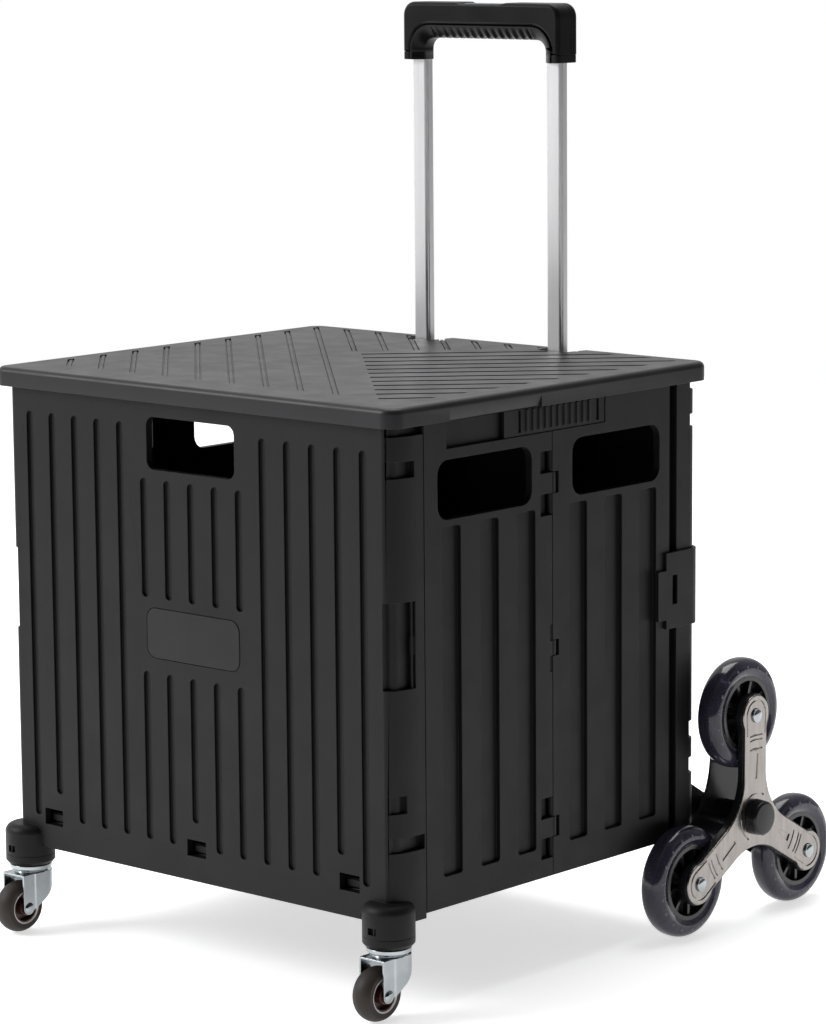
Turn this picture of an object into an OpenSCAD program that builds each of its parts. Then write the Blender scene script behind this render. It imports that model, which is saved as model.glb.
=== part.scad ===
/* [Crate] */
// Outside width of the crate
box_w = 446; // [420:1:470]
// Outside depth of the crate, front face to back face
box_d = 391; // [370:1:410]
// Height of the crate's lower edge above the floor
box_z = 77; // [77:1:90]
// Height of the top edge of the four walls above the floor
wall_top = 489; // [486:1:489]
// Thickness of the moulded walls
wall = 7; // [6:0.5:8]
// Radius of the crate's upright corners
corner_r = 12; // [8:1:16]
// Depth of the front corner posts along the side
front_post = 37; // [34:1:42]
// Depth of the rear corner posts along the side
rear_post = 30; // [26:1:32]

/* [Ribs and windows] */
// Distance between the front panel's grooves
groove_pitch = 27.4; // [26:0.2:28]
// Width of one groove
groove_w = 8; // [6:0.5:10]
// Depth of the grooves in the front and the back
groove_depth = 2.5; // [1.5:0.5:3]
// Depth of the side channels
channel_depth = 4; // [2:0.5:4.5]
// Width of one side channel
channel_w = 23; // [20:1:25]
// Width of one side window
window_w = 116; // [100:1:118]
// Height of one side window
window_h = 48; // [40:1:50]
// Width of the front hand hole
hand_w = 101; // [90:1:110]
// Height of the front hand hole
hand_h = 44; // [38:1:46]

/* [Lid] */
// Overhang of the lid past the walls
lid_over = 7.5; // [6:0.5:9]
// Height of the lid's top above the floor
lid_top = 493; // [492:1:498]
// Height of the lid's skirt
skirt_h = 16; // [14:1:20]

/* [Handle] */
// Distance between the two handle tubes
tube_gap = 155; // [150:1:160]
// Height of the top of the grip above the floor
grip_top = 794; // [780:1:800]
// Width of the grip
grip_w = 180; // [176:1:184]

/* [Wheels] */
// Radius of the front caster wheels
caster_r = 22.5; // [20:0.5:22.5]
// Radius of the rear stair wheels
wheel_r = 48.5; // [46:0.5:50]
// Distance from the cluster's hub to each wheel's centre
arm_r = 90; // [88:1:92]
// Width of a stair wheel
wheel_w = 23; // [20:1:24]

/* [Hidden] */

$fn = 48;
eps = 0.01;
gap = 0.3;      // free space between pieces that move
run = 0.05;     // radial clearance of a pin in its bore
half_w = box_w / 2;
half_d = box_d / 2;
right = 1;
left = -1;

// Tri-wheel clusters
hub_y = 231;
hub_z = arm_r / 2 + wheel_r;
axle_r = 6;
bracket_x = [188, 204];
plate_x = 257.8;    // inner face of the outer plate
plate_t = 2.4;
back_x = 224.4;     // inboard face of the inner plate
back_t = 2;
wheel_x = 240;      // middle plane of the stair wheels
OUTER_STAR = [18, 15, 26];      // radius of an arm's end, half width, hub to the edge between two arms
INNER_STAR = [20, 19.6, 34];
pin_r = 4;
cap_r = 15.5;
core_r = 33;
WHEEL_ANGLES = [0, 120, -120];   // top, front and rear wheel

// Front casters
caster_x = 210;
caster_y = -190;
caster_trail = 15;
housing_r = 21.5;
housing_z = 68;
collar_z = 59.5;
lock_window = [71.5, 77];   // window of the caster's lock in its housing
stem_r = 5.5;
fork_half = 13.4;
fork_t = 1.8;
fork_top = 52;
caster_w = 19;
caster_pin_r = 3;
caster_hub_r = 14.5;

// The origin lies on the floor, in the middle of the footprint
front_reach = -caster_y + caster_trail + caster_r;
rear_reach = hub_y + arm_r * sin(120) + wheel_r;
crate_y = -(rear_reach - front_reach) / 2;

// Upright hinges of the folding sides
post_end = -half_d + front_post;
rear_end = half_d - rear_post;
rear_gap = 10;
seam_gap = 0.6;
side_bottom = box_z + 4;
hinge_pin_r = 1.5;
barrel_r = 4;
front_axis = [half_w - wall - barrel_r - gap, post_end];
mid_axis = [half_w - barrel_r, 2.6];
rear_axis = [half_w - wall - barrel_r - gap, rear_end - rear_gap / 2];
HINGE_BANDS = [[97, 148], [254, 293], [385, 438]];   // lowest and highest point of each hinge
hinge_pocket = [15, 5.5];       // width and depth of the pockets beside the middle hinge
// Pockets in the posts: lowest and highest point, then reach along the side
FRONT_POCKETS = [[135, 147, 35], [167, 181, 16], [436, 449, 26], [469, 478, 36]];
REAR_POCKETS = [[135, 149, 12], [166, 181, 12], [437.5, 448.5, 12], [469.5, 490, 12]];
pocket_depth = 6;
pocket_x = 8.5;     // reach of a pocket along the front or the back
latch_reach = [12, 26];         // reach of the latch recess along the front and along the side
latch_z = 267;
latch_h = 66;

lid_t = 3.4;    // thickness of the lid's skin
strip_pitch = 27.4;
strip_w = 5.5;
strip_depth = 1.2;

// Slide locks at the top of the sides
lock_low = 454;
lock_depth = 4.5;
lock_front = -131;
lock_back = 69;
slider_front = -60;
lock_high = lock_low + 29;  // top of the slider

// Openings in the walls
hand_z = 442;
label_z = 282.5;
label_size = [107, 42];
slot_x = [-173, 0, 173];    // slots in the front for the floor panel's tabs
slot_z = [98, 112];
slot_half_w = 10.8;
window_y = 84;
window_z = 421;
channel_y = [33.3, 79.5, 126];
channel_z = [106.5, 391.5];
groove_z = [105, 457];
groove_low = 127;           // lower end of the short grooves
rib_z = [105, 435];         // grooves in the back panel
rib_pitch = 30;

// Floor panel
floor_z = 103;
floor_t = 8;
floor_half_w = 205.5;
floor_axis_y = 163;
floor_pin_r = 2.5;
floor_pin_x = [150, 192];
lug_r = 5;

// Handle stages, each a pair of tubes
tube_y = 183;
upper_tube = [16, 11];
lower_tube = [19.4, 14.4];
sleeve = [23, 18];
grip_d = 27;
grip_z = grip_top - 51;
grip_bar = 32;
leg_w = 21;

// ---- shared shapes ----

module at_crate() { translate([0, crate_y, 0]) children(); }

// Rectangle with round corners, centred
module round_rect(w, h, r) {
    square([w - 2 * r, h], center = true);
    square([w, h - 2 * r], center = true);
    for (sx = [-1, 1], sy = [-1, 1]) translate([sx * (w / 2 - r), sy * (h / 2 - r)]) circle(r);
}

// Plate in the XZ plane, centred at x and z, from y0 towards +Y
module plate_xz(x, z, w, h, r, y0, t) {
    translate([x, y0 + t, z]) rotate([90, 0, 0]) linear_extrude(t) round_rect(w, h, r);
}

// Plate in the YZ plane, centred at y and z, from x0 towards +X
module plate_yz(y, z, w, h, r, x0, t) {
    translate([x0, y, z]) rotate([90, 0, 90]) linear_extrude(t) round_rect(w, h, r);
}

// Box between two corners
module block(a, b) { translate(a) cube(b - a); }

// Rod along X between x0 and x1
module rod_x(r, x0, x1, y, z) { translate([x0, y, z]) rotate([0, 90, 0]) cylinder(r = r, h = x1 - x0); }

// Rod along Z between z0 and z1
module rod_z(r, z0, z1, x, y) { translate([x, y, z0]) cylinder(r = r, h = z1 - z0); }

module on_side(side) { if (side == left) mirror([1, 0, 0]) children(); else children(); }

module both_sides() { children(); mirror([1, 0, 0]) children(); }

// Footprint of the crate with round corners, inset by d
module footprint(d = 0) { round_rect(box_w - 2 * d, box_d - 2 * d, max(corner_r - d, 2)); }

// Third of a hinge band: part 0 and 2 belong to one leaf, part 1 to the other
function third(band, i) = [band[0] + i * (band[1] - band[0]) / 3 + gap / 2,
                           band[0] + (i + 1) * (band[1] - band[0]) / 3 - gap / 2];

// Knuckles on an upright axis, with a web towards y_to
module knuckles(axis, parts, y_to, x_to) {
    for (band = HINGE_BANDS, i = parts) let (z = third(band, i)) {
        rod_z(barrel_r, z[0], z[1], axis[0], axis[1]);
        block([min(axis[0], x_to), min(axis[1], y_to), z[0]], [max(axis[0], x_to), max(axis[1], y_to), z[1]]);
    }
}

// Bores for the hinge pins
module hinge_bores(axis) {
    for (band = HINGE_BANDS) rod_z(hinge_pin_r + run, band[0] - 1, band[1] + 1, axis[0], axis[1]);
}

module hinge_pins(axis) {
    for (band = HINGE_BANDS) rod_z(hinge_pin_r, band[0], band[1], axis[0], axis[1]);
}

// ---- crate walls ----

module groove(x, z0, z1) {
    plate_xz(x, (z0 + z1) / 2, groove_w, z1 - z0, groove_w / 2 - eps, -half_d - 1, groove_depth + 1);
}

// The five middle grooves leave room for the label plate and the hand hole
module front_grooves() {
    for (i = [-7 : 7]) let (x = i * groove_pitch, low = (abs(i) == 6 || i == 0) ? groove_low : groove_z[0])
        if (abs(i) <= 2) {
            groove(x, low, label_z - 33.5);
            groove(x, label_z + 29.5, hand_z - 30);
        } else groove(x, low, groove_z[1]);
}

// Channel of one depth that wraps the front right corner, from z0 to z1
module corner_channel(reach_x, reach_y, depth, z0, z1) {
    translate([0, 0, z0]) linear_extrude(z1 - z0) difference() {
        translate([half_w - reach_x, -half_d - 1]) square([reach_x + 1, reach_y + 1]);
        footprint(depth);
    }
}

// What is taken off the front right corner, so that it rounds slowly into the side
module corner_trim() {
    a = corner_r;
    b = front_post - 7;
    steps = 16;
    translate([half_w - a, -half_d + b, box_z - 1]) linear_extrude(wall_top) polygon(concat(
        [for (i = [0 : steps]) let (t = -90 + i * 90 / steps) [a * cos(t), b * sin(t)]],
        [[a + 1, 0], [a + 1, -b - 1], [0, -b - 1]]));
}

// Housing with a round shoulder over each caster
module caster_housing() {
    height = 27;
    shoulder = 8;
    translate([caster_x, caster_y, housing_z]) rotate_extrude($fn = 64) {
        square([housing_r, height - shoulder]);
        square([housing_r - shoulder, height]);
        translate([housing_r - shoulder, height - shoulder]) circle(shoulder, $fn = 48);
    }
}

module front_panel() {
    color([0.06, 0.06, 0.065]) at_crate() difference() {
        union() {
            intersection() {
                translate([0, 0, box_z]) linear_extrude(wall_top - box_z) difference() {
                    footprint();
                    footprint(wall);
                }
                block([-half_w - 1, -half_d - 1, box_z - 1], [half_w + 1, post_end - gap, wall_top + 1]);
            }
            // ledge that carries the floor panel's front edge
            block([-half_w + wall + 14, -half_d + wall - 1, 92], [half_w - wall - 14, -half_d + wall + 12, floor_z - floor_t / 2 - gap]);
            both_sides() {
                knuckles(front_axis, [0, 2], post_end - 7, half_w - wall + 1);
                // solid corner that the pockets are cut into
                block([half_w - 20, -half_d + wall - 1, box_z], [half_w - wall + 1, -half_d + 20, wall_top]);
            }
        }
        both_sides() corner_trim();
        front_grooves();
        plate_xz(0, hand_z, hand_w, hand_h, 8, -half_d - 1, wall + 2);
        plate_xz(0, label_z, label_size[0] + 1, label_size[1] + 1, 10, -half_d - 1, 2.2);
        for (x = slot_x)
            block([x - slot_half_w, -half_d - 1, slot_z[0]], [x + slot_half_w, -half_d + wall + 1, slot_z[1]]);
        both_sides() {
            hinge_bores(front_axis);
            for (pocket = FRONT_POCKETS) corner_channel(pocket_x, pocket[2], pocket_depth, pocket[0], pocket[1]);
            corner_channel(latch_reach[0], latch_reach[1], pocket_depth, latch_z, latch_z + latch_h + 4);
            rod_z(stem_r + run, box_z - 1, housing_z + 23, caster_x, caster_y);
        }
    }
    color([0.06, 0.06, 0.065]) at_crate() difference() {
        both_sides() caster_housing();
        both_sides() {
            rod_z(stem_r + run, housing_z - 1, housing_z + 23, caster_x, caster_y);
            // window of the caster's lock
            block([caster_x - 3.2, caster_y - housing_r - 1, lock_window[0]], [caster_x + 4.8, caster_y - housing_r + 4, lock_window[1]]);
        }
    }
    // pins in the latch recesses and in the windows of the caster locks
    color([0.06, 0.06, 0.065]) at_crate() both_sides() {
        rod_z(1.1, latch_z - eps, latch_z + latch_h + 4 + eps, half_w - 2.6, -half_d + latch_reach[1] - 2);
        block([half_w - 4, -half_d + latch_reach[1] - 3.6, latch_z + 27], [half_w - 1.6, -half_d + latch_reach[1] + eps, latch_z + 42]);
        rod_z(1, lock_window[0] - eps, lock_window[1] + eps, caster_x + 2, caster_y - housing_r + 2);
    }
}

module back_panel() {
    color([0.06, 0.06, 0.065]) at_crate() difference() {
        union() {
            intersection() {
                translate([0, 0, box_z]) linear_extrude(wall_top - box_z) difference() {
                    footprint();
                    footprint(wall);
                }
                block([-half_w - 1, rear_end, box_z - 1], [half_w + 1, half_d + 1, wall_top + 1]);
            }
            both_sides() {
                knuckles(rear_axis, [0, 2], rear_end + 2, half_w - wall + 1);
                block([half_w - 20, half_d - 20, box_z], [half_w - wall + 1, half_d - wall + 1, wall_top]);
                // channel for the handle sleeve
                block([tube_gap / 2 - 15, tube_y - 12.5, box_z + 6], [tube_gap / 2 + 15, half_d - wall + 1, wall_top]);
                // lugs that hold the floor panel's hinge pin
                for (x = [floor_pin_x[0], floor_pin_x[1] - 6]) {
                    rod_x(lug_r, x, x + 6, floor_axis_y, floor_z);
                    block([x, floor_axis_y, floor_z - lug_r], [x + 6, half_d - wall + 1, floor_z + lug_r]);
                }
            }
        }
        for (i = [-6 : 6])
            plate_xz(i * rib_pitch, (rib_z[0] + rib_z[1]) / 2, 10, rib_z[1] - rib_z[0], 4.9,
                     half_d - groove_depth, groove_depth + 1);
        both_sides() {
            hinge_bores(rear_axis);
            for (pocket = REAR_POCKETS) mirror([0, 1, 0]) corner_channel(pocket_x, pocket[2], pocket_depth - 1, pocket[0], pocket[1]);
            translate([tube_gap / 2, tube_y, box_z + 10]) linear_extrude(wall_top)
                round_rect(sleeve[0], sleeve[1], 3.5);
            rod_x(floor_pin_r, floor_pin_x[0] - 1, floor_pin_x[1] + 1, floor_axis_y, floor_z);
        }
    }
}

// One half of a folding side, built at the right: 1 rear, -1 front
module side_half(end) {
    edge = end > 0 ? rear_end - rear_gap : -post_end - gap;
    own = end > 0 ? [0, 2] : [1];
    other = end > 0 ? [1] : [0, 2];
    outer = end > 0 ? rear_axis : front_axis;
    difference() {
        union() {
            block([half_w - wall, end > 0 ? seam_gap / 2 : -edge, side_bottom],
                  [half_w, end > 0 ? edge : -seam_gap / 2, wall_top]);
            knuckles(outer, [1], end * (edge - 5), half_w - wall + 1);
            knuckles(mid_axis, own, end * 8, half_w - wall);
        }
        plate_yz(end * window_y, window_z, window_w, window_h, 12, half_w - wall - 1, wall + 2);
        for (y = channel_y)
            plate_yz(end * y, (channel_z[0] + channel_z[1]) / 2, channel_w, channel_z[1] - channel_z[0], 3,
                     half_w - channel_depth, channel_depth + 1);
        block([half_w - lock_depth, lock_front, lock_low], [half_w + 1, lock_back, wall_top + 1]);
        // room for the other leaf's knuckles
        for (band = HINGE_BANDS, i = other) let (z = third(band, i))
            block([mid_axis[0] - barrel_r - 1, mid_axis[1] - barrel_r - 1.4, z[0] - gap],
                  [half_w + 1, mid_axis[1] + barrel_r + 1.4, z[1] + gap]);
        // pockets beside the lowest and the highest middle hinge
        if (end < 0) for (band = [HINGE_BANDS[0], HINGE_BANDS[2]], i = [0, 2]) let (z = third(band, i))
            block([half_w - hinge_pocket[1], -hinge_pocket[0], z[0] - gap], [half_w + 1, 0, z[1] + gap]);
        hinge_bores(mid_axis);
        hinge_bores(outer);
    }
}

module side_right_front() { color([0.07, 0.07, 0.075]) at_crate() side_half(-1); }
module side_right_rear() { color([0.07, 0.07, 0.075]) at_crate() side_half(1); }
module side_left_front() { color([0.07, 0.07, 0.075]) at_crate() mirror([1, 0, 0]) side_half(-1); }
module side_left_rear() { color([0.07, 0.07, 0.075]) at_crate() mirror([1, 0, 0]) side_half(1); }

module front_hinge_pins() { color("silver") at_crate() both_sides() hinge_pins(front_axis); }
module mid_hinge_pins() { color("silver") at_crate() both_sides() hinge_pins(mid_axis); }
module rear_hinge_pins() { color("silver") at_crate() both_sides() hinge_pins(rear_axis); }

module label_plate() {
    color([0.03, 0.03, 0.035]) at_crate() plate_xz(0, label_z, label_size[0], label_size[1], 9.5, -half_d - 0.3, 1.5);
}

// ---- floor panel ----

module tread_groove(x) {
    translate([x, -12, floor_z + floor_t / 2 - 1]) linear_extrude(2) round_rect(8, 280, 3.9);
}

module floor_panel() {
    front = -half_d + wall + 2;
    knuckle_x = [floor_pin_x[0] + 7, floor_pin_x[1] - 7];
    color([0.07, 0.07, 0.075]) at_crate() difference() {
        union() {
            block([-floor_half_w, front, floor_z - floor_t / 2], [floor_half_w, floor_axis_y - 6, floor_z + floor_t / 2]);
            for (x = slot_x) block([x - 9, -half_d + wall + gap, floor_z - 3], [x + 9, front + 1, floor_z + 3]);
            both_sides() {
                rod_x(floor_t / 2, knuckle_x[0], knuckle_x[1], floor_axis_y, floor_z);
                block([knuckle_x[0], floor_axis_y - 7, floor_z - floor_t / 2],
                      [knuckle_x[1], floor_axis_y, floor_z + floor_t / 2]);
            }
        }
        both_sides() {
            rod_x(floor_pin_r + run, knuckle_x[0] - 1, knuckle_x[1] + 1, floor_axis_y, floor_z);
            // clearance round the filled front corners
            block([half_w - 21, front - 1, 0], [half_w, -half_d + 21, 200]);
        }
        for (i = [-8 : 8]) tread_groove(i * 22);
    }
}

module floor_hinge_pins() { color("silver") at_crate() both_sides()
    rod_x(floor_pin_r, floor_pin_x[0], floor_pin_x[1], floor_axis_y, floor_z); }

// ---- lid ----

module lid() {
    w = box_w + 2 * lid_over;
    d = box_d + 2 * lid_over;
    r = corner_r + 2;
    edge = 5;       // rounding of the upper edge, in five steps
    side_x = half_w + lid_over;
    color([0.09, 0.085, 0.095]) at_crate() difference() {
        union() {
            translate([0, 0, lid_top - skirt_h]) linear_extrude(skirt_h - edge) round_rect(w, d, r);
            for (i = [0 : edge - 1]) let (s = edge - edge * cos(asin((i + 0.5) / edge)))
                translate([0, 0, lid_top - edge + i]) linear_extrude(1) round_rect(w - 2 * s, d - 2 * s, r - s);
        }
        translate([0, 0, lid_top - skirt_h - 1]) linear_extrude(skirt_h + 1 - lid_t)
            round_rect(w - 2 * lid_t, d - 2 * lid_t, r - lid_t);
        // notches for the handle tubes
        both_sides() translate([tube_gap / 2, 0, lid_top - skirt_h - 1]) linear_extrude(skirt_h + 2)
            polygon([[-15, tube_y - 10.5], [15, tube_y - 10.5], [21, half_d + lid_over + 1], [-21, half_d + lid_over + 1]]);
        // bevelled finger recess over each slide lock
        both_sides() translate([side_x, -22, lid_top - skirt_h]) rotate([90, 0, 0]) linear_extrude(113)
            polygon([[1, 13.4], [1, -1], [-3.1, -1]]);
        lid_lines();
    }
}

// Part of the lid's top that carries the strips; the front margin is the widest
module lid_field() {
    translate([-half_w + 9, -half_d + 36]) square([box_w - 26, box_d - 42]);
}

// Shallow diagonal strips: one field runs to the front right, the other across it
module lid_lines() {
    reach = 330;        // past every corner of the field
    meet = 12;          // where the second field starts
    translate([0, 0, lid_top - strip_depth]) linear_extrude(2) intersection() {
        rotate(-45) {
            for (i = [-10 : 6])
                translate([-reach, i * strip_pitch + 4]) square([i < 0 ? 2 * reach : reach - 90, strip_w]);
            for (i = [-2 : 9]) translate([i * strip_pitch - 14, meet]) square([strip_w, reach]);
        }
        lid_field();
    }
}

// ---- slide locks ----

// Built at the right
module lock_slider() {
    x0 = half_w - lock_depth + gap;
    length = lock_back - slider_front - gap;
    difference() {
        union() {
            block([x0, slider_front, lock_low + gap], [half_w - 0.6, slider_front + length, lock_high]);
            for (i = [0 : 10])
                block([half_w - 1, -33 + i * 8, lock_low + 3], [half_w + 0.6, -30 + i * 8, lock_low + 21]);
        }
        for (y = [-42, 58]) block([half_w - 2.6, y, lock_low + 3], [half_w + 1, y + 3, lock_low + 21]);
    }
}
module lock_slider_right() { color([0.06, 0.06, 0.065]) at_crate() lock_slider(); }
module lock_slider_left() { color([0.06, 0.06, 0.065]) at_crate() mirror([1, 0, 0]) lock_slider(); }

// ---- rear latch clips ----

latch_axis = [half_w - 16, half_d + 4.6];
latch_t = 2.6;
latch_front = 148;

// Built at the right: a curved clip that wraps the rear corner post
module latch() {
    r = corner_r + 0.5;
    c = [half_w - corner_r, half_d - corner_r];
    translate([0, 0, latch_z]) difference() {
        linear_extrude(latch_h) {
            difference() {
                translate(c) circle(r + latch_t);
                translate(c) circle(r);
                translate([c[0] - 40, c[1] - 40]) square([40, 80]);
                translate([c[0] - 40, c[1] - 40]) square([80, 40]);
            }
            translate([half_w + 0.5, latch_front]) square([latch_t, c[1] - latch_front + eps]);
            translate([latch_axis[0], half_d + 0.5]) square([c[0] - latch_axis[0] + eps, latch_t]);
            difference() {
                translate(latch_axis) circle(4.1);
                translate([latch_axis[0] - 5, half_d - 9.5]) square([10, 10]);
            }
        }
        translate([latch_axis[0], latch_axis[1], -1]) cylinder(r = 1.6 + run, h = latch_h + 2);
        block([half_w - 1, rear_end - 9, 21], [half_w + 5, rear_end - 2.5, 46]);
        for (z = [-1, latch_h - 8])
            block([latch_axis[0] - 6, half_d - 1, z], [latch_axis[0] + 6, half_d + 12, z + 9]);
    }
    // finger tab
    block([half_w + 0.5, latch_front - 11, latch_z + 8], [half_w + 0.5 + latch_t, latch_front + eps, latch_z + 51]);
}
module latch_right() { color([0.06, 0.06, 0.065]) at_crate() latch(); }
module latch_left() { color([0.06, 0.06, 0.065]) at_crate() mirror([1, 0, 0]) latch(); }

// Pins with their end lugs, which stand on the back panel
module latch_pins() {
    color([0.06, 0.06, 0.065]) at_crate() both_sides() {
        rod_z(1.6, latch_z + 1, latch_z + latch_h - 1, latch_axis[0], latch_axis[1]);
        for (z = [latch_z + 1, latch_z + latch_h - 8 + gap])
            block([latch_axis[0] - 4, half_d, z], [latch_axis[0] + 4, latch_axis[1] + 3, z + 7 - gap]);
    }
}

// ---- telescopic handle ----

module tube_pair(outer, inner, z0, z1, r) {
    at_crate() both_sides() translate([tube_gap / 2, tube_y, z0]) linear_extrude(z1 - z0) difference() {
        round_rect(outer[0], outer[1], r);
        round_rect(inner[0], inner[1], r - 1);
    }
}

module handle_sleeves() {
    color([0.6, 0.6, 0.62]) tube_pair(sleeve, [20, 15], box_z + 10, wall_top - 4, 3.5);
}

module sleeve_collars() {
    color([0.06, 0.06, 0.065]) tube_pair(sleeve, [20.2, 15.2], wall_top - 4, wall_top, 3.5);
}

module handle_lower_tubes() {
    color([0.8, 0.8, 0.82]) tube_pair(lower_tube, [16.6, 11.6], 105, wall_top + 2, 3);
}

module handle_upper_tubes() {
    color([0.85, 0.85, 0.87]) difference() {
        tube_pair(upper_tube, [13.4, 8.4], 430, grip_z + 20, 2.5);
        // fine line along both flanks of each tube
        at_crate() both_sides() for (s = [-1, 1]) translate([tube_gap / 2 + s * upper_tube[0] / 2, tube_y - 2.8, 0])
            linear_extrude(grip_z + 30) square([1.2, 1.8], center = true);
    }
}

// Front outline of the grip, with the finger opening below the bar
module grip_outline() {
    r = 12;
    difference() {
        union() {
            translate([-grip_w / 2, 0]) square([grip_w, grip_top - grip_z - r]);
            translate([-grip_w / 2 + r, 0]) square([grip_w - 2 * r, grip_top - grip_z]);
            for (s = [-1, 1]) translate([s * (grip_w / 2 - r), grip_top - grip_z - r]) circle(r);
        }
        grip_opening(0);
    }
}

// Finger opening, grown by g
module grip_opening(g) {
    inner_w = grip_w - 2 * leg_w + 2 * g;
    top = grip_top - grip_z - grip_bar + g;
    r = 10;
    translate([-inner_w / 2, -1]) square([inner_w, top - r + 1]);
    translate([-inner_w / 2 + r, -1]) square([inner_w - 2 * r, top + 1]);
    for (s = [-1, 1]) translate([s * (inner_w / 2 - r), top - r]) circle(r);
}

module grip_extrude(depth) {
    translate([0, tube_y + depth / 2, grip_z]) rotate([90, 0, 0]) linear_extrude(depth) children();
}

module handle_grip() {
    color([0.05, 0.05, 0.055]) at_crate() difference() {
        grip_extrude(grip_d) difference() {
            grip_outline();
            grip_opening(12);
            translate([-grip_w, -1]) square([2 * grip_w, 8]);
        }
        both_sides() translate([tube_gap / 2, tube_y, grip_z]) linear_extrude(20) round_rect(16.2, 11.2, 2.5);
        translate([0, tube_y, grip_top - 10]) linear_extrude(20) round_rect(47, 17, 4);
        // shallow saddle round the button
        grip_extrude(grip_d + 2) translate([0, grip_top - grip_z]) polygon([[-24, -2.2], [24, -2.2], [30, 1], [-30, 1]]);
    }
}

module grip_base() {
    color([0.05, 0.05, 0.055]) at_crate() difference() {
        grip_extrude(grip_d - 1) difference() {
            union() {
                intersection() { grip_outline(); grip_opening(12 - eps); }
                intersection() { grip_outline(); translate([-grip_w, 0]) square([2 * grip_w, 7 - eps]); }
            }
        }
        both_sides() translate([tube_gap / 2, tube_y, grip_z - 1]) linear_extrude(30) round_rect(16.2, 11.2, 2.5);
        for (i = [-6.5 : 6.5]) translate([i * 8, tube_y, grip_z + 19]) rotate([90, 0, 0])
            cylinder(r = 2, h = grip_d + 2, center = true);
    }
}

module grip_button() {
    color([0.12, 0.12, 0.13]) at_crate() translate([0, tube_y, grip_top - 5.4]) linear_extrude(4.4)
        round_rect(46, 16, 3.6);
}

// ---- axle ----

module axle_brackets() {
    color([0.05, 0.05, 0.055]) at_crate() both_sides() translate([bracket_x[0], 0, 0]) rotate([90, 0, 90])
        linear_extrude(bracket_x[1] - bracket_x[0]) difference() {
            union() {
                translate([hub_y, hub_z]) circle(13);
                polygon([[half_d, box_z + 2], [hub_y, hub_z - 13], [hub_y, hub_z + 13], [half_d, 128]]);
            }
            translate([hub_y, hub_z]) circle(axle_r + run);
        }
}

module main_axle() {
    color("silver") at_crate() rod_x(axle_r, -264, 264, hub_y, hub_z);
}

module axle_spacers() {
    color([0.1, 0.1, 0.1]) at_crate() both_sides() difference() {
        rod_x(10, bracket_x[1] + gap, back_x - gap, hub_y, hub_z);
        rod_x(axle_r + run, bracket_x[1], back_x, hub_y, hub_z);
    }
}

module axle_clips() {
    color("silver") at_crate() both_sides() difference() {
        rod_x(9, plate_x + plate_t + gap, plate_x + plate_t + gap + 1.4, hub_y, hub_z);
        rod_x(axle_r, plate_x, plate_x + 10, hub_y, hub_z);
    }
}

// ---- front casters ----

module caster_collars() {
    color([0.06, 0.06, 0.065]) at_crate() both_sides() translate([caster_x, caster_y, collar_z]) difference() {
        union() {
            cylinder(r1 = housing_r - 2.5, r2 = housing_r, h = 3);
            translate([0, 0, 3 - eps]) cylinder(r = housing_r, h = housing_z - collar_z - 3 + eps);
        }
        translate([0, 0, -1]) cylinder(r = stem_r + run, h = 20);
    }
}

// Built at the right. The wheel trails towards the front
module caster_fork() {
    leg_x = fork_half - fork_t;
    translate([caster_x, caster_y, 0]) {
        difference() {
            rotate([90, 0, 90]) translate([0, 0, -fork_half]) linear_extrude(2 * fork_half) fork_side();
            block([-leg_x, -60, -1], [leg_x, 60, fork_top - fork_t]);
            rod_x(caster_pin_r + run, -20, 20, -caster_trail, caster_r);
        }
        translate([0, 0, fork_top - eps]) cylinder(r = 16, h = 3.5);
        translate([0, 0, fork_top + 3]) cylinder(r = 18.5, h = collar_z - fork_top - 3 - gap);
        translate([0, 0, fork_top]) cylinder(r = stem_r, h = 38);
    }
}

// Side outline of the fork in Y and Z
module fork_side() {
    translate([-caster_trail, caster_r]) circle(6);
    polygon([[-caster_trail - 6, caster_r], [-21, 40], [-21, fork_top], [17, fork_top], [16, 42], [10, 31],
             [-caster_trail + 5.5, caster_r - 2]]);
}

module caster_axle() {
    translate([caster_x, caster_y, 0]) {
        rod_x(caster_pin_r, -fork_half, fork_half, -caster_trail, caster_r);
        for (s = [-1, 1]) translate([s * (fork_half + 1), -caster_trail, caster_r]) rotate([0, 90, 0])
            cylinder(r = 4.6, h = 2, center = true);
    }
}

module caster_tyre() {
    translate([caster_x, caster_y - caster_trail, caster_r]) rotate([0, 90, 0]) rotate_extrude($fn = 64) {
        translate([caster_hub_r, -caster_w / 2 + 2]) square([caster_r - caster_hub_r - 4, caster_w - 4]);
        intersection() {
            translate([caster_hub_r, -caster_w / 2]) square([8, caster_w]);
            translate([caster_r - 13, 0]) circle(13);
        }
    }
}

module caster_hub() {
    translate([caster_x, caster_y - caster_trail, caster_r]) rotate([0, 90, 0]) rotate_extrude($fn = 64) {
        translate([caster_pin_r + run, -10]) square([4, 20]);
        translate([6, -3]) square([7, 6]);
        translate([caster_hub_r - 2.5, -8.4]) square([2.5 - eps, 16.8]);
    }
}

module caster_fork_right() { color([0.75, 0.77, 0.8]) at_crate() caster_fork(); }
module caster_axle_right() { color("silver") at_crate() caster_axle(); }
module caster_tyre_right() { color([0.24, 0.22, 0.2]) at_crate() caster_tyre(); }
module caster_hub_right() { color([0.3, 0.16, 0.15]) at_crate() caster_hub(); }
module caster_fork_left() { color([0.75, 0.77, 0.8]) at_crate() mirror([1, 0, 0]) caster_fork(); }
module caster_axle_left() { color("silver") at_crate() mirror([1, 0, 0]) caster_axle(); }
module caster_tyre_left() { color([0.24, 0.22, 0.2]) at_crate() mirror([1, 0, 0]) caster_tyre(); }
module caster_hub_left() { color([0.3, 0.16, 0.15]) at_crate() mirror([1, 0, 0]) caster_hub(); }

// ---- tri-wheel clusters, built at the right ----

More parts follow.
